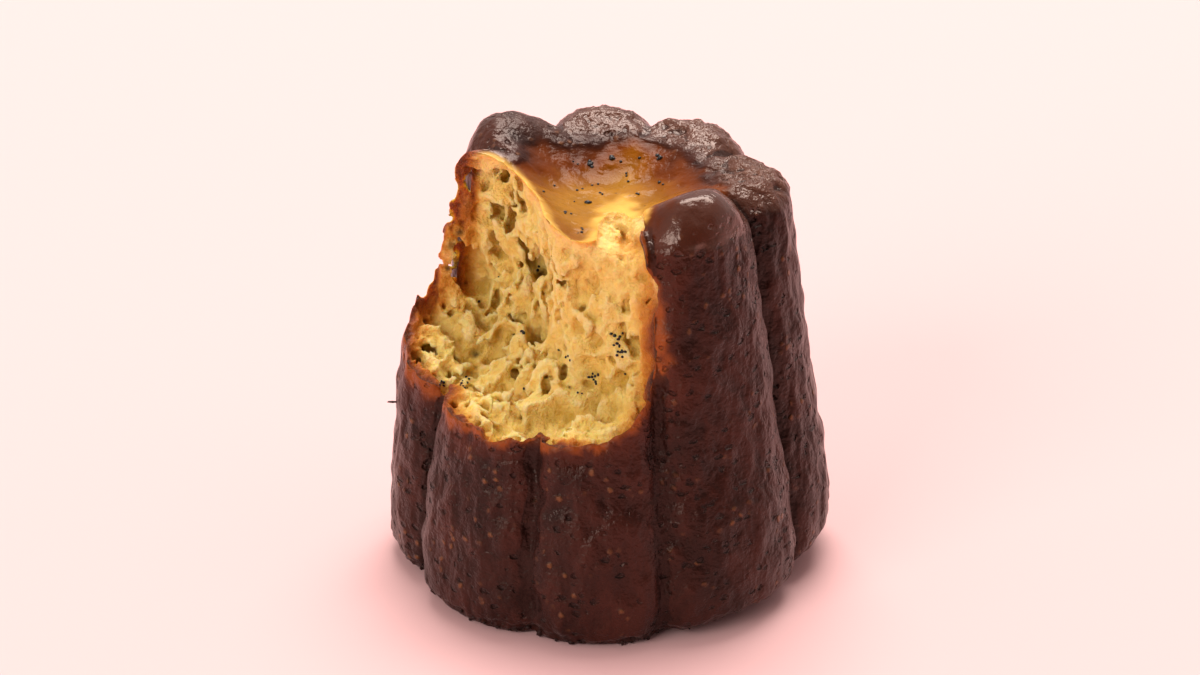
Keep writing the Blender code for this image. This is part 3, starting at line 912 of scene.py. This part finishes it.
class Wire:
    """One socket of a shader's node tree. Arithmetic on it adds Math nodes to the tree."""

    def __init__(self, tree, socket=None):
        self.tree = tree
        self.socket = socket

    def node(self, kind, settings, inputs, output=0):
        """A node of this type, with its settings made first and then the values or links of its sockets."""
        made = self.tree.nodes.new("ShaderNode" + kind)
        for name, value in settings.items():
            if name == "stops":
                set_stops(made.color_ramp, value)
            else:
                setattr(made, name, value)
        for name, value in inputs.items():
            socket = made.inputs[name]
            if isinstance(value, Wire):
                self.tree.links.new(value.socket, socket)
            else:
                socket.default_value = (*value, 1.0) if socket.type == "RGBA" else value
        return Wire(self.tree, made.outputs[output] if made.outputs else None)

    def math(self, operation, first, second):
        return self.node("Math", {"operation": operation}, {0: first, 1: second})

    def __add__(self, other):
        return self.math("ADD", self, other)

    __radd__ = __add__

    def __sub__(self, other):
        return self.math("SUBTRACT", self, other)

    def __rsub__(self, other):
        return self.math("SUBTRACT", other, self)

    def __mul__(self, other):
        return self.math("MULTIPLY", self, other)

    __rmul__ = __mul__

    def rise(self, low, high):
        """0 below low, 1 above high, and an S curve between."""
        inputs = {"Value": self, "From Min": low, "From Max": high}
        return self.node("MapRange", {"interpolation_type": "SMOOTHSTEP"}, inputs)

    def mix(self, first, second, share):
        """A colour between two."""
        settings = {"data_type": "RGBA", "clamp_factor": True}
        return self.node("Mix", settings, {0: share, 6: first, 7: second}, 2)

    def layered(self, colour, layers):
        """A colour with others laid over it in turn, each by its own share."""
        for other, share in layers:
            colour = self.mix(colour, other, share)
        return colour


def set_stops(ramp, stops):
    while len(ramp.elements) < len(stops):
        ramp.elements.new(0.5)
    for element, (place, colour) in zip(ramp.elements, stops):
        element.position = place
        element.color = (*colour, 1.0)


def new_material(name):
    material = bpy.data.materials.new(name)
    material.use_nodes = True
    material.node_tree.nodes.clear()
    return material, Wire(material.node_tree)


def finish_material(start, shader):
    start.node("OutputMaterial", {}, {"Surface": shader})


def noise(start, place, size, detail=2.0, roughness=0.5):
    """Noise from 0 to 1 with features of about this size in metres."""
    inputs = {"Vector": place, "Scale": 1.0 / size, "Detail": detail, "Roughness": roughness}
    return start.node("TexNoise", {}, inputs)


def dots(start, place, size):
    """Distance to the nearest of many scattered points, about this far apart in metres."""
    return start.node("TexVoronoi", {}, {"Vector": place, "Scale": 1.0 / size})


def reckon(start, operation, inputs):
    return start.node("VectorMath", {"operation": operation}, inputs)


def jostle(start, place, amount):
    """The place shifted to and fro by noise, so that what is drawn there gets an uneven outline."""
    inputs = {"Vector": place, "Scale": 1.0 / JOSTLE_SIZE, "Detail": 2.0}
    shift = start.node("TexNoise", {}, inputs, 1)
    shift = reckon(start, "SUBTRACT", {0: shift, 1: (0.5, 0.5, 0.5)})
    return reckon(start, "ADD", {0: place, 1: reckon(start, "SCALE", {0: shift, 3: amount})})


def read_values(start, *names):
    """What paint_cake wrote on the surface under these names."""
    return [start.node("Attribute", {"attribute_name": name}, {}, "Fac") for name in names]


def bumps(start, height, distance):
    return start.node("Bump", {}, {"Height": height, "Strength": 1.0, "Distance": distance})


def coated(start, colour, roughness, specular=0.5, more=None, settings=None):
    """A Principled surface, with more of its sockets by name."""
    inputs = {"Base Color": colour, "Roughness": roughness, "Specular IOR Level": specular}
    return start.node("BsdfPrincipled", settings or {}, {**inputs, **(more or {})})


def crust_material():
    """Dark pitted crust, glossier on the crown, and amber syrup in the dish."""
    material, start = new_material("browned_crust")
    place = start.node("TexCoord", {}, {}, "Object")
    upright = reckon(start, "MULTIPLY", {0: place, 1: (1.0, 1.0, 0.5)})
    flat = reckon(start, "MULTIPLY", {0: place, 1: (1.0, 1.0, 1.5)})
    glaze, crown, craggy, custard, edge, near_edge, lip = read_values(
        start, "glaze", "crown", "craggy", "custard", "edge", "near_edge", "lip")
    crease, sunk_mm, seam, burnt = read_values(start, "crease", "sunk_mm", "seam", "burnt")
    glazed = glaze.rise(0.0, 0.15)

    broad = noise(start, place, 8.0 * MM, 3.0)
    middle = noise(start, upright, 2.4 * MM, 2.0)
    fine = noise(start, place, 1.3 * MM, 3.0, 0.6)
    grain = noise(start, place, 0.5 * MM, 2.0)
    specks = 1.0 - dots(start, jostle(start, place, 0.7 * MM), 1.7 * MM).rise(0.10, 0.30)
    speckled = specks * noise(start, place, 6.0 * MM).rise(0.46, 0.60)
    pits = 1.0 - dots(start, jostle(start, flat, 1.2 * MM), 1.9 * MM).rise(0.12, 0.34)
    pitted = pits * noise(start, place, 3.0 * MM).rise(0.44, 0.54) * (1.0 - glazed)
    mottled = (broad * 0.5 + middle * 0.35 + fine * 0.15).rise(0.36, 0.64)
    in_shade = crease.rise(0.35, 1.0) * 0.75 + sunk_mm.rise(0.03, 0.16) * (0.7 - glazed * 0.55)
    syrup = start.node("ValToRGB", {"stops": SYRUP_STOPS}, {
        "Fac": glaze + (broad - 0.5) * 0.25 + (fine - 0.5) * 0.12})
    colour = start.layered(CRUST_DARK, (
        (CRUST_LIGHT, mottled),
        (SPECK_COLOUR, speckled * 0.6),
        # near-black in the pits: painted shade inside them
        (PIT_SHADE_COLOUR, pitted * 0.75),
        (CROWN_COLOUR, crown * 0.8),
        # lighter grey-brown speckle on the craggy lobes: painted sheen and glints
        (CRAG_SHEEN_COLOUR, craggy * (0.1 + fine * 0.9)),
        (NEAR_EDGE_COLOUR, near_edge * 0.4),
        (syrup, glaze.rise(0.02, 0.2)),
        (EDGE_COLOUR, edge * 0.75 * (1.0 - custard)),
        (LIP_COLOUR, lip * 0.9),
        (SHADE_COLOUR, in_shade),
        # pale line round the knob: painted highlight along its seam ridge
        (RIDGE_HIGHLIGHT_COLOUR, seam * 0.5),
        # near-black spots: painted shade over holes and cracks that are not modelled
        (HOLE_SHADE_COLOUR, burnt * 0.9),
    ))

    height = middle * 0.9 + fine * 0.45 + grain * 0.08 - pitted * 0.55 + speckled * 0.2
    height = height * (1.0 - glazed * 0.6) * (1.0 - crown * 0.75) + craggy * (fine * 0.26 + grain * 0.26)
    bump = bumps(start, height, 0.9 * MM)
    baked = coated(start, colour, 0.33 + (middle - 0.5) * 0.3, 0.25, {
        "Normal": bump, "Specular Tint": (1.0, 0.74, 0.66),
        "Sheen Weight": 0.05, "Sheen Roughness": 0.45, "Sheen Tint": (1.0, 0.66, 0.60),
    })
    varnished = coated(start, colour, 0.21 + (fine - 0.5) * 0.15, 0.62, {
        "Normal": bump, "Specular Tint": (1.0, 0.80, 0.71)})
    syrupy = coated(start, colour, 0.22 + (fine - 0.5) * 0.2, 0.11, {
        "Normal": bump, "Specular Tint": (1.0, 0.86, 0.74)})
    dry = start.node("MixShader", {}, {0: crown, 1: baked, 2: varnished})
    finish_material(start, start.node("MixShader", {}, {0: glazed, 1: dry, 2: syrupy}))
    return material


def crumb_material():
    """Pale custard crumb, with painted olive shade in its hollows and holes and painted highlight on proud
    bits, a rust band under the skin and gold under the glaze.
    """
    material, start = new_material("custard_crumb")
    place = start.node("TexCoord", {}, {}, "Object")
    depth, sunk_mm, hollow, custard, baked, dense, burnt = read_values(
        start, "depth_mm", "sunk_mm", "hollow", "custard", "baked", "dense", "burnt")

    wander = noise(start, place, 3.0 * MM, 3.0)
    fine = noise(start, place, 0.8 * MM, 3.0)
    grain = noise(start, place, 0.35 * MM, 3.0, 0.6)
    under = depth + (wander - 0.5) + (fine - 0.5) * 1.3
    band = start.node("ValToRGB", {"stops": BAND_STOPS}, {"Fac": under * baked})
    crumb = start.layered(CRUMB_DEEP, (
        (CRUMB_PALE, (wander * 0.6 + fine * 0.4).rise(0.3, 0.7)),
        # paler on proud bits: painted highlight
        (CRUMB_PROUD_HIGHLIGHT, (0.0 - sunk_mm).rise(0.04, 0.28) * 0.7),
        # darker olive in hollows and sunk places: painted shade
        (CRUMB_HOLLOW_SHADE, hollow * 0.25 + sunk_mm.rise(0.02, 0.28) * 0.55),
        (CRUMB_DENSE, dense * 0.7),
    ))
    golden = start.mix(GOLD_DEEP, GOLD_PALE, under.rise(0.0, 1.0))
    colour = start.layered(band, (
        (crumb, (under * baked).rise(0.75, 1.7)),
        (golden, custard * (1.0 - under.rise(1.6, 3.2)) * 0.9),
        # near-black spots: painted shade over holes in the crumb that are not modelled
        (CRUMB_HOLE_SHADE, burnt * 0.9),
    ))
    shader = coated(start, colour, 0.5, 0.35, {
        "Normal": bumps(start, fine * 0.8 + grain * 0.6, 0.85 * MM), "Subsurface Weight": 0.7,
        "Subsurface Radius": (1.0, 0.65, 0.25), "Subsurface Scale": 0.8 * MM,
    }, {"subsurface_method": "RANDOM_WALK"})
    finish_material(start, shader)
    return material


def plain_material(name, colour, roughness, specular=0.5):
    material, start = new_material(name)
    finish_material(start, coated(start, colour, roughness, specular))
    return material


# Camera, floor and light


def add_camera():
    """The camera stands at the photo's angle and is turned so that the cake's foot falls on its pixel."""
    data = bpy.data.cameras.new("camera")
    camera = bpy.data.objects.new("camera", data)
    bpy.context.scene.collection.objects.link(camera)
    data.sensor_width = 36.0
    data.lens = data.sensor_width * CAMERA_FOCAL / PHOTO_SIZE[0]
    data.clip_start = 0.01
    rise = math.radians(CAMERA_RISE)
    camera.location = camera_place()
    down = rise - math.atan((ORIGIN_PIXEL[1] - PHOTO_SIZE[1] / 2.0) / CAMERA_FOCAL)
    left = math.atan((ORIGIN_PIXEL[0] - PHOTO_SIZE[0] / 2.0) / CAMERA_FOCAL)
    camera.rotation_euler = (math.radians(90.0) - down, 0.0, left)
    bpy.context.scene.camera = camera


def add_lamp(name, place, aim, size, power):
    data = bpy.data.lights.new(name, "AREA")
    data.shape = "DISK"
    data.size = size
    data.energy = power
    data.color = LAMP_COLOUR
    lamp = bpy.data.objects.new(name, data)
    lamp.location = place
    lamp.rotation_euler = (Vector(aim) - Vector(place)).to_track_quat("-Z", "Y").to_euler()
    bpy.context.scene.collection.objects.link(lamp)


def add_floor():
    """A wide pale table that fills the camera's view."""
    corners = FLOOR_HALF * np.array([(-1.0, -1.0, 0.0), (1.0, -1.0, 0.0), (1.0, 1.0, 0.0), (-1.0, 1.0, 0.0)])
    floor = mesh_object("table_top", corners, [(0, 1, 2, 3)])
    floor.data.materials.append(plain_material("pale_floor", FLOOR_COLOUR, 0.85, 0.1))


def light_scene():
    """A pale studio, darker towards the front, with one soft lamp behind the cake and one in front."""
    world = bpy.data.worlds.new("studio")
    world.use_nodes = True
    start = Wire(world.node_tree)
    direction = start.node("TexCoord", {}, {}, "Generated")
    to_front = 0.0 - start.node("SeparateXYZ", {}, {0: direction}, 1)
    background = world.node_tree.nodes["Background"]
    colour = start.mix(STUDIO_COLOUR, STUDIO_FRONT, to_front.rise(0.1, 0.8))
    world.node_tree.links.new(colour.socket, background.inputs["Color"])
    background.inputs["Strength"].default_value = STUDIO_STRENGTH
    bpy.context.scene.world = world
    bpy.context.scene.view_settings.view_transform = "Standard"
    for lamp in LAMPS:
        add_lamp(*lamp)


# Seeds and crumbs


def grain_shape():
    """A tiny grain: the corners and faces of a ball of few faces."""
    bm = bmesh.new()
    bmesh.ops.create_icosphere(bm, subdivisions=1, radius=1.0)
    corners = np.array([vert.co[:] for vert in bm.verts])
    faces = np.array([[vert.index for vert in face.verts] for face in bm.faces])
    bm.free()
    return corners, faces


def add_grains(name, middles, halves, material):
    """One mesh of small grains, each an ellipsoid with its own middle and half sizes."""
    corners, faces = grain_shape()
    points = np.array(middles)[:, None, :] + corners[None] * np.array(halves)[:, None, :]
    numbers = faces[None] + len(corners) * np.arange(len(middles))[:, None, None]
    points = np.clip(points.reshape(-1, 3), cad_low, cad_high)
    grains = mesh_object(name, points, numbers.reshape(-1, 3).tolist())
    grains.data.materials.append(material)
    grains.data.shade_smooth()
    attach(grains, "root")


def add_seeds(cake):
    """Vanilla seeds pressed into the surface where the camera sees them."""
    random = np.random.default_rng(21)
    tree = surface_tree(cake.data)
    middles, halves = [], []
    for (across, down), number, scatter, size in SEED_SPOTS:
        for _ in range(number):
            pixel = (across + random.normal(0.0, scatter), down + random.normal(0.0, scatter))
            hit = tree.ray_cast(*photo_ray(*pixel))[0]
            half = size * MM * random.uniform(0.75, 1.25) * random.uniform(0.75, 1.25, 3)
            if hit is not None:
                middles.append(hit[:])
                halves.append(half)
    add_grains("vanilla_seeds", middles, halves, plain_material("vanilla_seed", SEED_COLOUR, 0.4))


def add_crumbs(cake):
    """Burnt bits of crust that cling to the foot, and one that stands out at the left."""
    random = np.random.default_rng(22)
    points = vertex_array(cake.data)
    foot = points[(points[:, 2] > CRUMB_HEIGHTS[0]) & (points[:, 2] < CRUMB_HEIGHTS[1])]
    middles = foot[random.integers(0, len(foot), CRUMB_COUNT)]
    halves = random.uniform(*CRUMB_HALF, (CRUMB_COUNT, 1)) * random.uniform(0.6, 1.5, (CRUMB_COUNT, 3))
    middles[:, 2] = np.maximum(middles[:, 2], halves[:, 2])
    middles, halves = np.vstack([middles, FLECK_MIDDLE]), np.vstack([halves, FLECK_HALF])
    add_grains("crust_crumbs", middles, halves, plain_material("charred_crumb", CHAR_COLOUR, 0.6, 0.3))


# The cake


def sunken(mesh, points):
    """How far each point lies behind its surroundings, found by evening out a copy of the surface."""
    starts, ends = edge_ends(mesh)
    count = np.bincount(starts, minlength=len(points)) + np.bincount(ends, minlength=len(points))
    even = points.copy()
    for _ in range(EVENING_ROUNDS):
        for way in range(3):
            total = np.bincount(starts, even[ends, way], len(points))
            total = total + np.bincount(ends, even[starts, way], len(points))
            even[:, way] = 0.5 * (even[:, way] + total / count)
    normals = np.empty(len(points) * 3)
    mesh.vertex_normals.foreach_get("vector", normals)
    return ((even - points) * normals.reshape(-1, 3)).sum(axis=1)


def near_spots(points, tree, spots):
    """1 at the spots that the camera sees at these pixels, fading out over each one's size in mm."""
    total = np.zeros(len(points))
    for pixel, size in spots:
        hit = tree.ray_cast(*photo_ray(*pixel))[0]
        if hit is not None:
            away = ((points - np.array(hit)) ** 2).sum(axis=1)
            total = np.maximum(total, np.exp(-away / (size * MM) ** 2))
    return total


def paint_cake(cake, skin_tree):
    """Writes what the materials read at each point of the surface.

    depth_mm is how deep it lies under the whole cake's skin, sunk_mm how far behind its surroundings, and
    baked is one over the thickness in mm that the oven coloured. The other values run from 0 to 1.
    """
    mesh = cake.data
    points = vertex_array(mesh)
    x, y, z = points.T
    azimuth = np.degrees(np.arctan2(x, -y))
    wander = lattice_noise(points, 4.5 * MM, 31)
    small = lattice_noise(points, 1.4 * MM, 32)
    inwards, valley = side_depth(x, y, z)
    field = scoop_field(points)

    centre, spread, bulge = GLAZE_BULGE
    away = np.hypot(x - GLAZE_MIDDLE[0], y - GLAZE_MIDDLE[1]) - bulge * bell(azimuth, centre, spread)
    away = away + 1.3 * MM * wander + 0.5 * MM * small
    glaze = (1.0 - smooth_step(*GLAZE_REACH, away)) * smooth_step(*GLAZE_HEIGHTS, z)
    crown = smooth_step(*CROWN_HEIGHTS, z + 0.6 * MM * small) * smooth_step(*CROWN_RADII, np.hypot(x, y))
    shiny = 1.0
    for centre, spread, share in DULL_LOBES:
        shiny = shiny - share * bell(azimuth, centre, spread)
    custard = smooth_step(*CUSTARD_DEPTHS, inwards) * smooth_step(*CUSTARD_HEIGHTS, z)
    creased = smooth_step(CREASE_BEGIN, 1.0, valley) * (1.0 - smooth_step(*CREASE_HEIGHTS, z))
    # painted highlight: a thin band along the seam ridge round the knob
    seam = np.exp(-(((z - SEAM_HEIGHT - SEAM_WIDTH * small) / SEAM_WIDTH) ** 2))
    seam = seam * smooth_step(*SEAM_ENDS[0], azimuth) * (1.0 - smooth_step(*SEAM_ENDS[1], azimuth))
    from_dense = ((points - np.array(DENSE_MIDDLE)) ** 2).sum(axis=1)
    at_left = smooth_step(-10.0 * MM, -18.0 * MM, x) * (0.6 - 0.4 * smooth_step(30.0 * MM, 38.0 * MM, z))
    painted = {
        "depth_mm": np.abs(signed_depths(points, skin_tree)) / MM,
        "sunk_mm": sunken(mesh, points) / MM,
        "glaze": glaze,
        "crown": crown * (1.0 - glaze) * shiny,
        "craggy": np.clip(crag_strength(azimuth), 0.0, 1.0) * crown * (1.0 - glaze),
        "crease": creased * (1.0 - 0.75 * bell(azimuth, FRONT_VALLEY, FRONT_SPREAD)),
        "seam": seam,
        "custard": custard,
        "lip": custard * (1.0 - smooth_step(-0.1 * MM, 0.85 * MM, field + 0.25 * MM * small)),
        "edge": 1.0 - smooth_step(0.0, 0.6 * MM, field + 0.4 * MM * small),
        "near_edge": 1.0 - smooth_step(0.2 * MM, 2.6 * MM, field + 0.8 * MM * wander),
        # where the crumb gets painted shade, deeper in the bite
        "hollow": smooth_step(0.3 * MM, 2.2 * MM, field),
        "dense": np.exp(-from_dense / DENSE_REACH**2),
        "baked": 1.0 / (1.5 + 1.9 * smooth_step(-2.0 * MM, 4.0 * MM, x) + at_left),
        # painted shade spots over holes and cracks that are not modelled
        "burnt": near_spots(points, surface_tree(mesh), HOLE_SHADE_SPOTS),
    }
    for name, values in painted.items():
        attribute = mesh.attributes.new(name, "FLOAT", "POINT")
        attribute.data.foreach_set("value", np.asarray(values, np.float32))


def add_cake():
    """The textured skin less the torn bite, which leaves its crumb finish where it cuts."""
    smooth_skin = closed_skin("smooth_skin", skin_points()[0])
    skin_tree = surface_tree(smooth_skin.data)
    bpy.data.objects.remove(smooth_skin)
    cake = closed_skin("bitten_canele", textured_skin())
    cake.data.materials.append(crust_material())
    points, faces = without_bubbles(*surface_net(*bite_field(skin_tree)))
    cutter = mesh_object("torn_bite", points, faces.tolist())
    cutter.data.materials.append(crumb_material())
    cut_bite(cake, cutter)
    cake.data.shade_smooth()
    paint_cake(cake, skin_tree)
    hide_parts("canele")
    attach(cake, "root")
    return cake


add_camera()
add_floor()
light_scene()
cake = add_cake()
add_seeds(cake)
add_crumbs(cake)
